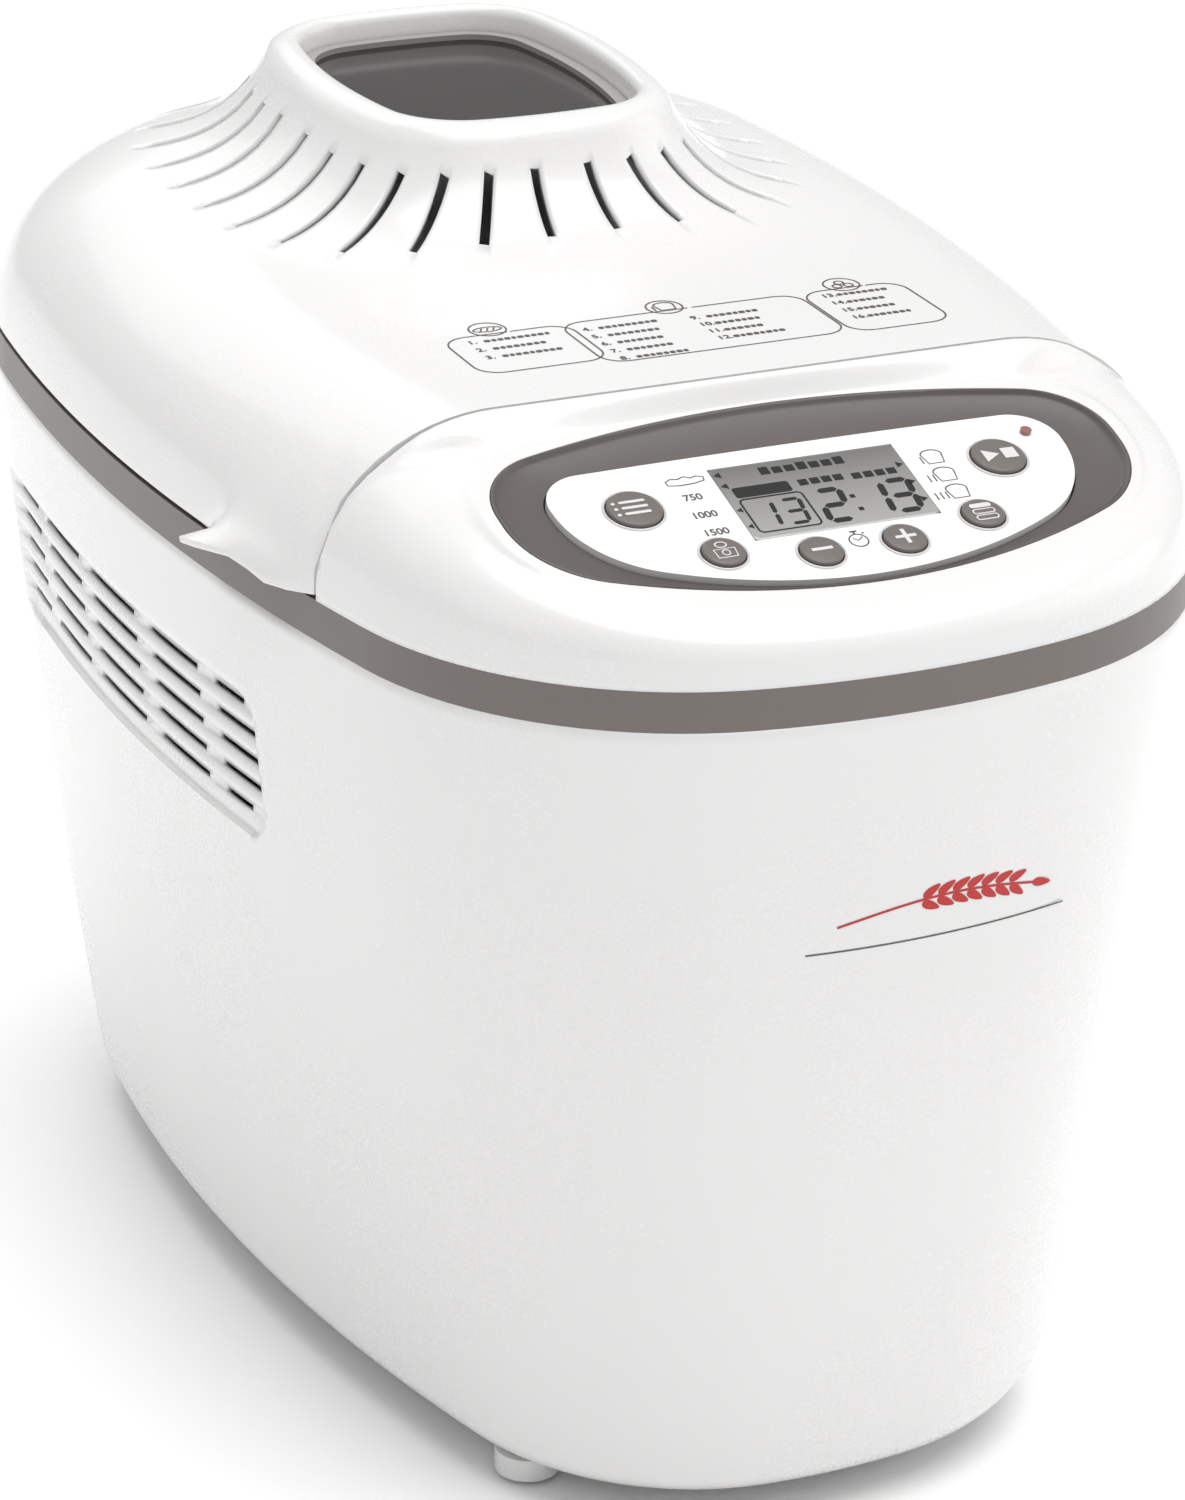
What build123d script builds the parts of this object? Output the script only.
from build123d import *
from math import acos, atan2, cos, degrees, exp, hypot, pi, radians, sin, sqrt
import os

os.makedirs("parts", exist_ok=True)

# A bench-top bread machine, in millimetres. +Z is up, the control panel faces -Y,
# and the origin is on the table under the middle of the machine.

# casing: half width, front and rear reach at the rim, and the taper down to the base
half_width = 135.0
front_reach = 212.5
rear_reach = 201.5
widest_y = 26.5
taper_side, taper_front, taper_rear = 27.0, 21.0, 25.0
foot_height = 8.0
band_low, band_top = 244.0, 255.0
base_rounding = 14.0
wall = 3.0
corner_front, corner_rear = 94.0, 108.0
bow_side, bow_front, bow_rear = 741.0, 226.0, 470.0

# lid dome, its raised window surround, and the split between the lid and the control hood
lid_low = 256.0
dome_height, dome_run = 42.0, 48.0
dome_base = 258.0
window_y = 75.0
window_half_x, window_half_y = 39.8, 53.2
rim_width, rim_top = 9.0, 332.0
flare_height, flare_decay = 32.0, 14.0
split_y = -114.5
split_gap = 1.0
slot_count, slot_width = 30, 2.8
slot_inner, slot_inner_power = (54.3, 67.4, 67.4), 3.2
slot_outer, slot_outer_power = (85.7, 84.5, 100.0), 2.85
tab_reach, tab_y = 143.0, -90.0

# control panel plane: a point on it and its slope, rising to the rear
panel_y, panel_z, panel_tilt = -147.8, 286.0, 16.56
ring_shape = (87.2, 48.5, 28.0, 0.0, 300.0, 170.0, 290.0, 30.0, 22.0)
face_shape = (72.7, 44.5, 11.2, 9.4, 257.0, 122.0, 3000.0, 33.0, 12.3)
screen_size, screen_s = (52.4, 30.2), -9.95
button_places = {
    "menu_button": (-51.5, -6.8, 7.2),
    "start_stop_button": (51.5, -6.8, 7.2),
    "weight_button": (-36.4, -28.3, 5.6),
    "crust_button": (36.4, -28.3, 5.6),
    "minus_button": (-11.7, -33.4, 5.6),
    "plus_button": (11.7, -33.4, 5.6),
}
lamp_place, lamp_radius = (63.9, 1.9), 1.5

# oven chamber and pan
oven_y = 38.0
chamber_half_x, chamber_half_y = 89.0, 124.0
chamber_low, chamber_top, chamber_wall = 76.0, 246.0, 1.0
pan_half_x, pan_half_y, pan_wall = 67.0, 99.0, 1.6
pan_low, pan_top = 92.0, 205.0
shaft_pitch = 96.0
shaft_radius = 4.0
running_gap = 0.05
handle_z, handle_reach, handle_half_y, handle_rod = 182.0, 77.0, 106.5, 3.0

# drive
motor_y, motor_radius, motor_top = -142.0, 38.0, 128.0
plate_low, plate_top = 60.0, 62.5
floor_plate_top = 14.0
big_pulley, small_pulley = 44.0, 8.0
low_track, high_track = 30.0, 40.0
belt_height, belt_thick, belt_gap = 7.0, 2.0, 0.35

# mains gland
gland_x, gland_z, gland_bore = 30.0, 36.0, 3.6

# hinge
hinge_y, hinge_z, hinge_radius, pin_radius = 207.5, 258.5, 5.0, 2.5
lug_inner, lug_outer, arm_inner = 52.0, 66.0, 36.0

shaft_places = {"front": oven_y - shaft_pitch / 2, "rear": oven_y + shaft_pitch / 2}


def corner_centre(arc_centre, arc_reach, side_centre, side_reach, upward):
    dx = side_centre[0] - arc_centre[0]
    dy = side_centre[1] - arc_centre[1]
    span = hypot(dx, dy)
    along = (arc_reach**2 - side_reach**2 + span**2) / (2 * span)
    off = sqrt(arc_reach**2 - along**2)
    mid = (arc_centre[0] + along * dx / span, arc_centre[1] + along * dy / span)
    found = [(mid[0] - k * off * dy / span, mid[1] + k * off * dx / span) for k in (1, -1)]
    return max(found, key=lambda p: p[0] + upward * p[1])


def bowed_face(width, front, rear, mid, r_side, r_front, r_rear, rc_front, rc_rear):
    """Closed face of eight tangent arcs: bowed front, rear and sides with round corners."""
    side = (width - r_side, mid)
    fore = (0.0, r_front - front)
    aft = (0.0, rear - r_rear)
    cf = corner_centre(fore, r_front - rc_front, side, r_side - rc_front, -1)
    cr = corner_centre(aft, r_rear - rc_rear, side, r_side - rc_rear, 1)
    a1 = degrees(atan2(cf[1] - fore[1], cf[0] - fore[0]))
    a2 = degrees(atan2(cf[1] - side[1], cf[0] - side[0]))
    a3 = degrees(atan2(cr[1] - side[1], cr[0] - side[0]))
    a4 = degrees(atan2(cr[1] - aft[1], cr[0] - aft[0]))
    arcs = [
        CenterArc(fore, r_front, -180 - a1, 180 + 2 * a1),
        CenterArc(cf, rc_front, a1, a2 - a1),
        CenterArc(side, r_side, a2, a3 - a2),
        CenterArc(cr, rc_rear, a3, a4 - a3),
        CenterArc(aft, r_rear, a4, 180 - 2 * a4),
        CenterArc((-cr[0], cr[1]), rc_rear, 180 - a4, a4 - a3),
        CenterArc((-side[0], mid), r_side, 180 - a3, a3 - a2),
        CenterArc((-cf[0], cf[1]), rc_front, 180 - a2, a2 - a1),
    ]
    return make_face(Wire(arcs))


def casing_face(z, inset=0.0):
    """Outline of the machine at one height, narrowing below the band."""
    drop = min(max((band_low - z) / (band_low - foot_height), 0.0), 1.0) ** 1.25
    width = half_width - taper_side * drop
    k = width / half_width
    face = bowed_face(
        width - inset,
        front_reach - taper_front * drop - inset,
        rear_reach - taper_rear * drop - inset,
        widest_y,
        bow_side * k,
        bow_front * k,
        bow_rear * k,
        corner_front * k - 0.8 * inset,
        corner_rear * k - 0.8 * inset,
    )
    return Pos(0, 0, z) * face


def prism(face, height):
    return extrude(face, amount=height, dir=(0, 0, 1))


def block(x0, x1, y0, y1, z0, z1):
    return Pos((x0 + x1) / 2, (y0 + y1) / 2, (z0 + z1) / 2) * Box(x1 - x0, y1 - y0, z1 - z0)


def post(x, y, z0, z1, radius):
    return Pos(x, y, (z0 + z1) / 2) * Cylinder(radius, z1 - z0)


def sleeve(x, y, z0, z1, outer, inner):
    return post(x, y, z0, z1, outer) - post(x, y, z0, z1, inner)


def rod_x(x0, x1, y, z, radius):
    return Pos((x0 + x1) / 2, y, z) * Rot(0, 90, 0) * Cylinder(radius, x1 - x0)


def rod_y(x, y0, y1, z, radius):
    return Pos(x, (y0 + y1) / 2, z) * Rot(90, 0, 0) * Cylinder(radius, y1 - y0)


def round_box(half_x, half_y, radius, y, z):
    return Pos(0, y, z) * RectangleRounded(2 * half_x, 2 * half_y, radius)


def tray(low, high, z0, z1, radius, y):
    """Solid between a lower and an upper rounded rectangle."""
    return loft([round_box(*low, radius, y, z0), round_box(*high, radius, y, z1)], ruled=True)


def save(name, shape):
    shape.label = name
    export_step(shape, f"parts/{name}.step")


# ---------------------------------------------------------------- casing
def casing_solid(z0, z1, inset, rounding):
    turns = [0.0, 0.25, 0.55, 1.0]
    faces = [
        casing_face(z0 + rounding * t, inset + rounding * (1 - sqrt(1 - (1 - t) ** 2)))
        for t in turns
    ]
    heights = [z0 + rounding + (z1 - z0 - rounding) * t for t in (0.3, 0.65, 1.0)]
    return loft(faces + [casing_face(z, inset) for z in heights], ruled=True)


def side_vents():
    """Louvre slots on both sides: five rows of five, shorter where the field rounds off."""
    low, pitch, high = 176.6, 8.0, 2.8
    spans = [(-76.0, -53.0), (-43.0, -12.0), (-1.0, 34.0), (44.0, 75.0), (85.0, 108.0)]
    cuts = []
    for row in range(5):
        z = low + row * pitch
        short = 6.0 if row in (0, 4) else 0.0
        for start, end in spans:
            front = start + short if start == -76.0 else start
            back = end - short if end == 108.0 else end
            cuts.append(block(-150, 150, front, back, z, z + high))
    return cuts


def make_casing():
    shell = casing_solid(foot_height, band_low, 0.0, base_rounding)
    shell -= casing_solid(foot_height + wall, band_low, wall, base_rounding - wall)
    shell -= prism(casing_face(foot_height, 30.0), wall + 1)
    for cut in side_vents():
        shell -= cut
    shell -= rod_y(gland_x, 150, 190, gland_z, 7.0)
    for x, y in foot_places:
        shell -= post(x, y, foot_height - 1, foot_height + wall + 1, 3.0)
    save("body_shell", shell)

    plate = Pos(0, 0, wall) * prism(casing_face(foot_height, 24.0), wall)
    for x, y in foot_places:
        plate -= post(x, y, foot_height, floor_plate_top + 1, 3.0)
    for x, y in screw_places:
        plate -= post(x, y, foot_height, floor_plate_top + 1, 1.5)
    save("base_plate", plate)

    # grey band with the inner ledge that carries the deck, and two rear hinge lugs
    band = prism(casing_face(band_low), band_top - band_low)
    band -= prism(casing_face(band_low, 4.0), band_top - band_low)
    ledge = prism(casing_face(band_low, 4.0), 2.0) - prism(casing_face(band_low, 9.0), 2.0)
    band += ledge
    for side in (-1, 1):
        x0, x1 = sorted((side * lug_inner, side * lug_outer))
        lug = block(x0, x1, 192.0, hinge_y + hinge_radius, band_low, hinge_z)
        lug += rod_x(x0, x1, hinge_y, hinge_z, hinge_radius)
        lug -= block(x0, x1, 185.0, 202.3, band_top, 270)
        band += lug - prism(casing_face(band_low - 1, 4.0), 30)
        band -= rod_x(x0, x1, hinge_y, hinge_z, pin_radius)
    save("rim_band", band)

    deck = prism(casing_face(band_low, 4.2), 3.0)
    deck = Pos(0, 0, chamber_top - band_low) * deck
    deck -= Pos(0, 0, -1) * prism(
        round_box(chamber_half_x - 4, chamber_half_y - 4, 22, oven_y, chamber_top), 6
    )
    deck -= block(-200, 200, -300, split_y + 2, 240, 260)
    save("top_deck", deck)


foot_places = [(x, y) for x in (-69.0, 69.0) for y in (-137.0, 128.0)]
screw_places = [(x, y) for x in (-40.0, 40.0) for y in (-110.0, 110.0)]


def make_feet():
    foot_radius, pad_radius, pad_high = 9.0, 6.5, 1.5
    feet = [
        post(x, y, pad_high, foot_height, foot_radius) + post(x, y, foot_height, 13.0, 2.9)
        for x, y in foot_places
    ]
    save("feet", Compound(feet))
    save("foot_pads", Compound([post(x, y, 0, pad_high, pad_radius) for x, y in foot_places]))
    screws = [
        post(x, y, floor_plate_top, 16.0, 3.2) + post(x, y, 11.5, floor_plate_top, 1.5)
        for x, y in screw_places
    ]
    save("base_screws", Compound(screws))


# ---------------------------------------------------------------- dome shapes
def dome_solid(z0, inset):
    """Stack of casing outlines that draw in over the shoulder to the flat top."""
    steps = [0.0, 0.04, 0.14, 0.32, 0.6, 1.0]
    faces = [Pos(0, 0, z0 - band_low) * casing_face(band_low, inset)]
    for t in steps:
        run = dome_run * t
        z = dome_base + dome_height * sqrt(1 - (1 - t) ** 2) - inset
        if z > z0 + 0.5:
            faces.append(Pos(0, 0, z - band_low) * casing_face(band_low, inset + run))
    return loft(faces, ruled=True)


def surround_face(grow, rear_grow, z, inset=0.0):
    half_x = window_half_x + rim_width + grow - inset
    front = window_half_y + rim_width + grow - inset
    rear = window_half_y + rim_width + rear_grow - inset
    radius = 30.0 + grow * 0.6
    face = bowed_face(half_x, front, rear, 0.0, 190 + grow, 175 + grow, 175 + grow, radius, radius)
    return Pos(0, window_y, z) * face


def surround_solid(drop, inset):
    steps = [(44, 22), (30, 18), (18, 13), (10, 8), (4, 3.5), (0, 0)]
    faces = [surround_face(44, 22, 290 - drop, inset)]
    for grow, rear_grow in steps:
        z = rim_top - flare_height + flare_height * exp(-grow / flare_decay) - drop
        faces.append(surround_face(grow, rear_grow, z, inset))
    return loft(faces, ruled=True)


def window_prism(grow, z0, z1):
    face = bowed_face(
        window_half_x + grow, window_half_y + grow, window_half_y + grow, 0.0,
        179.0, 163.0, 163.0, 21.0 + grow, 21.0 + grow,
    )
    return prism(Pos(0, window_y, z0) * face, z1 - z0)


def superellipse(half_x, front, rear, angle, power):
    c, s = cos(angle), sin(angle)
    x = half_x * abs(c) ** (2 / power) * (1 if c > 0 else -1)
    y = abs(s) ** (2 / power) * (rear if s > 0 else -front)
    return x, y


def slot_angles():
    """Angles that space the slots evenly along the outer slot outline."""
    count = 1440
    angles = [-pi / 2 + 2 * pi * i / count for i in range(count + 1)]
    points = [superellipse(*slot_outer, a, slot_outer_power) for a in angles]
    lengths = [0.0]
    for p, q in zip(points, points[1:]):
        lengths.append(lengths[-1] + hypot(q[0] - p[0], q[1] - p[1]))
    chosen = []
    for i in range(slot_count):
        target = lengths[-1] * (i + 0.5) / slot_count
        chosen.append(angles[min(range(count + 1), key=lambda j: abs(lengths[j] - target))])
    return chosen


def slot_cutters():
    cutters = []
    for angle in slot_angles():
        xi, yi = superellipse(*slot_inner, angle, slot_inner_power)
        xo, yo = superellipse(*slot_outer, angle, slot_outer_power)
        long = hypot(xo - xi, yo - yi)
        turn = degrees(atan2(yo - yi, xo - xi))
        place = Pos((xi + xo) / 2, window_y + (yi + yo) / 2, 305) * Rot(0, 0, turn)
        cutters.append(place * Box(long, slot_width, 60))
    return cutters


def finger_tab(side):
    """Ear that flares out of the lid's side for lifting it."""
    low, thick = 258.0, 4.0
    ear = Pos(side * (tab_reach - 16), tab_y, low) * extrude(Ellipse(16, 21), amount=thick)
    ear += Pos(side * (tab_reach - 22), tab_y, low) * extrude(Ellipse(16, 17), amount=14)
    return ear


def make_lid():
    behind = block(-300, 300, split_y + split_gap / 2, 300, 200, 400)
    outer = dome_solid(lid_low, 0.0) + surround_solid(0.0, 0.0)
    for side in (-1, 1):
        outer += finger_tab(side)
    inner = dome_solid(lid_low - 1, wall) & block(-300, 300, split_y + wall + 1, 300, 200, 400)
    inner += surround_solid(wall, wall) & block(-300, 300, -100, 180, 200, 317.0)
    lid = (outer & behind) - inner
    lid -= window_prism(0.0, 320.0, 340.0)
    lid -= window_prism(-3.5, 310.0, 325.0)
    for cutter in slot_cutters():
        lid -= cutter
    for side in (-1, 1):
        x0, x1 = sorted((side * arm_inner, side * (lug_inner - 0.4)))
        arm = block(x0, x1, 196.0, hinge_y, hinge_z, hinge_z + 6)
        arm += rod_x(x0, x1, hinge_y, hinge_z, hinge_radius)
        lid += arm
        lid -= rod_x(x0 - 1, x1 + 1, hinge_y, hinge_z, pin_radius + running_gap)
    save("lid_cover", lid)

    glass_low, glass_top = 320.0, 323.0
    save("window_glass", window_prism(-0.2, glass_low, glass_top))
    gasket = window_prism(-0.2, glass_top, 324.6) - window_prism(-4.0, glass_top, 324.6)
    save("window_gasket", gasket)

    # formed metal liner with an opening under the window
    flange_low, sheet, liner_top = 258.0, 1.2, 288.0
    liner = tray((82, 117), (78, 113), flange_low, liner_top, 24, oven_y)
    liner += prism(round_box(96, 131, 30, oven_y, flange_low), sheet)
    liner -= tray((80.8, 115.8), (76.8, 111.8), flange_low, liner_top - sheet, 23, oven_y)
    liner -= window_prism(-4.0, liner_top - 5, liner_top + 5)
    collar = window_prism(-2.8, liner_top, 316.5) - window_prism(-4.0, liner_top, 316.5)
    save("lid_liner", liner + collar)
    inner_glass = window_prism(-4.2, liner_top - sheet, liner_top + 2)
    save("inner_window", inner_glass)

    pins = [
        rod_x(*sorted((side * (arm_inner - 1), side * lug_outer)), hinge_y, hinge_z, pin_radius)
        for side in (-1, 1)
    ]
    save("hinge_pins", Compound(pins))

    seal_low, seal_high = 249.0, 8.4
    seal = prism(round_box(chamber_half_x + 3, chamber_half_y + 3, 27, oven_y, seal_low), seal_high)
    seal -= prism(round_box(chamber_half_x, chamber_half_y, 24, oven_y, seal_low), seal_high)
    save("lid_seal", seal)


# ---------------------------------------------------------------- control hood and panel
slope = Plane(
    origin=(0, panel_y, panel_z),
    x_dir=(1, 0, 0),
    z_dir=(0, -sin(radians(panel_tilt)), cos(radians(panel_tilt))),
)


def on_slope(shape, x, s, height):
    return slope * Pos(x, s, height) * shape


def slope_prism(shape, low, high):
    face = bowed_face(*shape)
    return slope * Pos(0, 0, low) * extrude(face, amount=high - low, dir=(0, 0, 1))


def grown(shape, by):
    w, f, r, mid, rs, rf, rr, cf, cr = shape
    return (w + by, f + by, r + by, mid, rs + by, rf + by, rr + by, cf + by, cr + by)


def hood_block(inset):
    """Front housing body: dome outline under the sloping panel with a bevelled nose."""
    solid = dome_solid(band_top - (1 if inset else 0), inset)
    rear = split_y - split_gap / 2 - inset
    solid &= block(-300, 300, -300, rear, 200, 400)
    solid -= on_slope(Box(600, 600, 200), 0, 0, 100 - inset)
    nose = Plane(origin=(0, -202.0, 269.8 - inset * 1.3), x_dir=(1, 0, 0), z_dir=(0, -0.76, 0.65))
    solid -= nose * Pos(0, 0, 100) * Box(600, 200, 200)
    return solid


def make_hood():
    hood = hood_block(0.0) - hood_block(wall)
    hood -= slope_prism(grown(ring_shape, 0.1), -10, 10)
    save("control_hood", hood)

    bezel = slope_prism(ring_shape, -wall, 0) + slope_prism(grown(ring_shape, 1.5), -5, -wall)
    bezel -= slope_prism(face_shape, -3.5, 1)
    bezel -= slope_prism(grown(face_shape, -2.5), -6, 1)
    save("panel_bezel", bezel)

    face_low, face_top = -3.5, -0.8
    face = slope_prism(grown(face_shape, -0.15), face_low, face_top)
    face -= on_slope(Box(*screen_size, 20), 0, screen_s, 0)
    face -= on_slope(Cylinder(lamp_radius, 20), *lamp_place, 0)
    for x, s, radius in button_places.values():
        face -= on_slope(Cylinder(radius + 0.35, 20), x, s, 0)
    save("panel_face", face)
    middle = (face_low + face_top) / 2
    window = on_slope(Box(*screen_size, face_top - face_low), 0, screen_s, middle)
    save("lcd_window", window)
    save("lcd_module", on_slope(Box(56, 33, 6.6), 0, screen_s, -7.0))
    save("indicator_light", on_slope(Cylinder(lamp_radius, 10.6), *lamp_place, -5.1))

    board_top = -10.4
    save("control_board", on_slope(Box(140, 56, 1.6), 0, -11, board_top - 0.8))
    switches = [
        on_slope(Box(6, 6, 2.2), x, s, board_top + 1.1) for x, s, r in button_places.values()
    ]
    save("key_switches", Compound(switches))


def make_buttons():
    top, flange_top, flange_low, stem_low = 0.6, -3.8, -5.2, -7.0
    for name, (x, s, radius) in button_places.items():
        button = on_slope(Cylinder(radius, top - flange_low), x, s, (top + flange_low) / 2)
        button += on_slope(
            Cylinder(radius + 1.0, flange_top - flange_low), x, s, (flange_top + flange_low) / 2
        )
        button += on_slope(Cylinder(2.0, flange_low - stem_low), x, s, (stem_low + flange_low) / 2)
        save(name, button)


# ---------------------------------------------------------------- oven and pan
def make_oven():
    chamber = prism(round_box(chamber_half_x, chamber_half_y, 26, oven_y, chamber_low), 170.0)
    cavity = round_box(
        chamber_half_x - chamber_wall, chamber_half_y - chamber_wall, 25, oven_y,
        chamber_low + chamber_wall,
    )
    chamber -= prism(cavity, 175.0)
    for y in shaft_places.values():
        chamber -= post(0, y, 70, 80, 12.0)
    front = oven_y - chamber_half_y
    for x in (-30, 30):
        chamber -= rod_y(x, front - 5, front + 5, 100, 5.0)
    chamber -= rod_x(80, 95, 0, 130, 3.0)
    save("oven_chamber", chamber)

    # heating tube: an open loop round the pan with two terminals through the front wall
    half_x, half_y, z, tube = 78.0, 113.0, 100.0, 3.2
    near, far = oven_y - half_y, oven_y + half_y
    path = FilletPolyline(
        (30, front - 12, z), (30, near, z), (half_x, near, z), (half_x, far, z),
        (-half_x, far, z), (-half_x, near, z), (-30, near, z), (-30, front - 12, z), radius=8,
    )
    element = sweep(Plane(origin=(30, front - 12, z), z_dir=(0, 1, 0)) * Circle(tube), path=path)
    save("heating_element", element)
    bushes = [
        rod_y(x, front - 4, front + 4, z, 5.0) - rod_y(x, front - 4, front + 4, z, tube + 0.1)
        for x in (-30, 30)
    ]
    save("element_insulators", Compound(bushes))
    clips = [
        block(*sorted((side * 75.0, side * 88.0)), y - 5, y + 5, 94.0, z - tube)
        for side in (-1, 1)
        for y in (oven_y - 70, oven_y + 70)
    ]
    save("element_clips", Compound(clips))
    probe = rod_x(84, 100, 0, 130, 3.0)
    save("temperature_sensor", probe)
    fuse = rod_x(-95, -89, 20, 110, 5.0)
    save("thermal_fuse", fuse)

    seats = [
        sleeve(0, y, chamber_low + chamber_wall, 90.0, 25.5, 22.5) for y in shaft_places.values()
    ]
    save("pan_seats", Compound(seats))
    springs = [
        block(*sorted((side * 68.6, side * 70.2)), y - 7, y + 7, 77.0, 92.5)
        for side in (-1, 1)
        for y in (oven_y - 30, oven_y + 30)
    ]
    save("pan_springs", Compound(springs))


def make_pan():
    taper = 4.0
    outer = tray(
        (pan_half_x - taper, pan_half_y - taper), (pan_half_x, pan_half_y), pan_low, pan_top, 18,
        oven_y,
    )
    inner = tray(
        (pan_half_x - taper - pan_wall, pan_half_y - taper - pan_wall),
        (pan_half_x - pan_wall, pan_half_y - pan_wall),
        pan_low + pan_wall, pan_top, 16.5, oven_y,
    )
    rim = prism(round_box(pan_half_x + 3, pan_half_y + 3, 20, oven_y, pan_top - 3), 3)
    pan = outer + rim - inner
    for y in shaft_places.values():
        pan += sleeve(0, y, 83.0, pan_low, 22.0, 20.0)
        pan -= post(0, y, 80, 100, 10.0)
    save("bread_pan", pan)

    # the bail is drawn folded to the right, its eyes on pins in the pan's end walls
    path = FilletPolyline(
        (6, oven_y - handle_half_y, handle_z), (handle_reach, oven_y - handle_half_y, handle_z),
        (handle_reach, oven_y + handle_half_y, handle_z), (6, oven_y + handle_half_y, handle_z),
        radius=26,
    )
    start = Plane(origin=(6, oven_y - handle_half_y, handle_z), z_dir=(1, 0, 0))
    bail = sweep(start * Circle(handle_rod), path=path)
    pins = []
    for side in (-1, 1):
        mid = oven_y + side * handle_half_y
        bail += rod_y(0, mid - 2.7, mid + 2.7, handle_z, 6.5)
        bail -= rod_y(0, mid - 4, mid + 4, handle_z, pin_radius + running_gap)
        near, head, end = (oven_y + side * reach for reach in (98.4, 109.6, 111.0))
        pin = rod_y(0, *sorted((near, end)), handle_z, pin_radius)
        pin += rod_y(0, *sorted((head, end)), handle_z, 4.0)
        pins.append(pin)
    save("pan_handle", bail)
    save("handle_pins", Compound(pins))

    bushes = [
        sleeve(0, y, 90.5, 98.0, 10.0, shaft_radius + running_gap) for y in shaft_places.values()
    ]
    save("pan_bushes", Compound(bushes))
    for name, y in shaft_places.items():
        make_kneader(name, y)


def make_kneader(name, y):
    """Shaft with its wing coupling below the pan, and the blade on top."""
    hub_low, hub_top = 98.6, 126.0
    shaft = post(0, y, 87.0, 118.0, shaft_radius) + post(0, y, 87.0, 90.0, 14.0)
    for side in (-1, 1):
        shaft += block(-2.5, 2.5, *sorted((y + side * 5.0, y + side * 14.0)), 79.8, 87.0)
    save(f"{name}_pan_shaft", shaft)
    blade = post(0, y, hub_low, hub_top, 9.0)
    blade += loft(
        [
            Pos(21, y, hub_low) * RectangleRounded(44, 5, 2.4),
            Pos(17, y, hub_top + 4) * RectangleRounded(30, 3.4, 1.6),
        ],
        ruled=True,
    )
    blade -= post(0, y, hub_low, 118.0, shaft_radius)
    save(f"{name}_paddle", blade)


# ---------------------------------------------------------------- drive
def belt_loop(y0, r0, y1, r1, z, grow):
    """Plan shape around two pulleys of different size on the Y axis."""
    a, b = r0 + grow, r1 + grow
    lean = acos((a - b) / (y1 - y0))
    points = [
        (a * sin(lean), y0 + a * cos(lean)), (b * sin(lean), y1 + b * cos(lean)),
        (-b * sin(lean), y1 + b * cos(lean)), (-a * sin(lean), y0 + a * cos(lean)),
    ]
    face = make_face(Polyline(*points, close=True))
    face += Pos(0, y0) * Circle(a)
    face += Pos(0, y1) * Circle(b)
    return prism(Pos(0, 0, z) * face, belt_height)


def make_belt(name, y0, r0, y1, r1, track):
    z = track + 0.5
    outer = belt_loop(y0, r0, y1, r1, z, belt_gap + belt_thick)
    save(name, outer - belt_loop(y0, r0, y1, r1, z, belt_gap))


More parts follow.
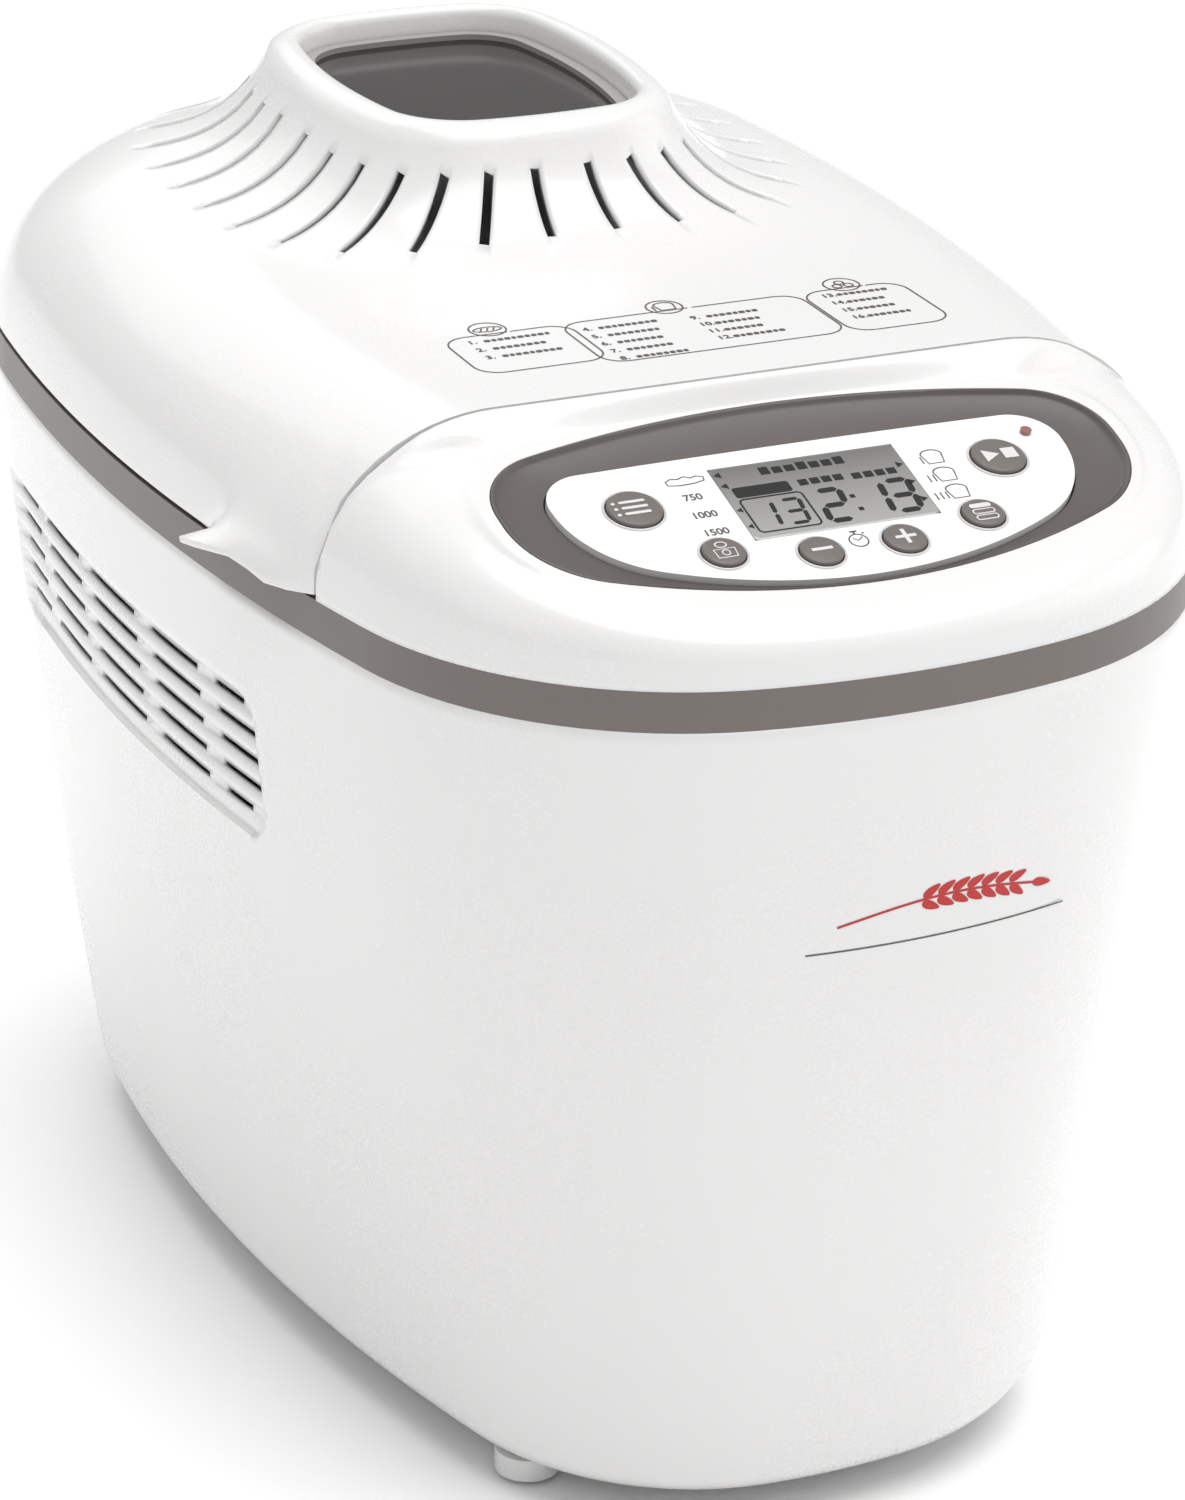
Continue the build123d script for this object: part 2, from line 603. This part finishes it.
def make_drive():
    track = 8.0
    for name, y in shaft_places.items():
        shaft = post(0, y, 28.0, 79.0, shaft_radius)
        shaft += post(0, y, 77.0, 79.0, 9.0)
        shaft += block(-11, 11, y - 2.5, y + 2.5, 79.0, 85.0)
        save(f"{name}_drive_shaft", shaft)
        low = low_track if name == "front" else high_track
        pulley = post(0, y, low - 1.5, low, big_pulley + 3)
        pulley += post(0, y, low, high_track + track, big_pulley)
        pulley += post(0, y, high_track + track, high_track + track + 1.5, big_pulley + 3)
        if name == "front":
            pulley += post(0, y, low_track + track, high_track, big_pulley + 3)
        pulley -= post(0, y, 20, 60, shaft_radius)
        for i in range(6):
            turn = pi / 3 * i
            pulley -= post(27 * cos(turn), y + 27 * sin(turn), 20, 60, 9.0)
        save(f"{name}_pulley", pulley)
    bearings = [
        sleeve(0, y, 52.0, 75.5, 9.0, shaft_radius + running_gap) for y in shaft_places.values()
    ]
    save("drive_bearings", Compound(bearings))

    make_belt("motor_belt", motor_y, small_pulley, shaft_places["front"], big_pulley, low_track)
    make_belt(
        "transfer_belt", shaft_places["front"], big_pulley, shaft_places["rear"], big_pulley,
        high_track,
    )

    bracket = block(-70, 70, -72, 148, plate_low, plate_top)
    bracket += block(-48, 48, -186, -72, plate_low, plate_top)
    legs = [(x, y) for x in (-62.0, 62.0) for y in (-62.0, 138.0)]
    for x, y in legs:
        bracket += post(x, y, floor_plate_top, chamber_low, 5.0)
    for x in (-38.0, 38.0):
        bracket += post(x, -162.0, floor_plate_top, plate_low, 5.0)
    for y in shaft_places.values():
        bracket -= post(0, y, 50, 70, 9.0)
    bracket -= post(0, motor_y, 50, 70, 12.0)
    save("drive_bracket", bracket)

    # motor: hollow can with the rotor turning inside it
    can = post(0, motor_y, plate_top, motor_top, motor_radius)
    can -= post(0, motor_y, plate_top + 3, motor_top - 3, motor_radius - 3)
    can -= post(0, motor_y, plate_top - 1, motor_top - 1, 5.0 + running_gap)
    save("motor_housing", can)
    rotor = post(0, motor_y, low_track - 2, motor_top - 2, 5.0)
    rotor += post(0, motor_y, 72.0, 112.0, 26.0)
    rotor += post(0, motor_y, 114.0, 121.0, 31.0)
    save("motor_rotor", rotor)
    coils = [sleeve(0, motor_y, 76.0, 108.0, 34.5, 28.0)]
    save("motor_coil", coils[0])
    pulley = sleeve(0, motor_y, low_track, low_track + track, small_pulley, 5.0)
    for z in (low_track - 1.5, low_track + track):
        pulley += sleeve(0, motor_y, z, z + 1.5, small_pulley + 3, 5.0)
    save("motor_pulley", pulley)
    screws = [
        post(x, motor_y + y, plate_low - 3, plate_low, 4.0)
        for x in (-25.0, 25.0)
        for y in (-20.0, 20.0)
    ]
    save("motor_screws", Compound(screws))


def make_electrics():
    save("run_capacitor", post(66.0, -120.0, floor_plate_top, 62.0, 14.0))
    board = block(-76.6, -75.0, -160, -98, 70, 140)
    save("power_board", Compound([board, block(-75.0, -55.0, -145, -115, 84, 116)]))
    gland = rod_y(gland_x, 168, 186, gland_z, 6.9) + rod_y(gland_x, 182.5, 186, gland_z, 9.5)
    gland -= rod_y(gland_x, 160, 190, gland_z, gland_bore)
    save("mains_gland", gland)


make_casing()
make_feet()
make_lid()
make_hood()
make_buttons()
make_oven()
make_pan()
make_drive()
make_electrics()
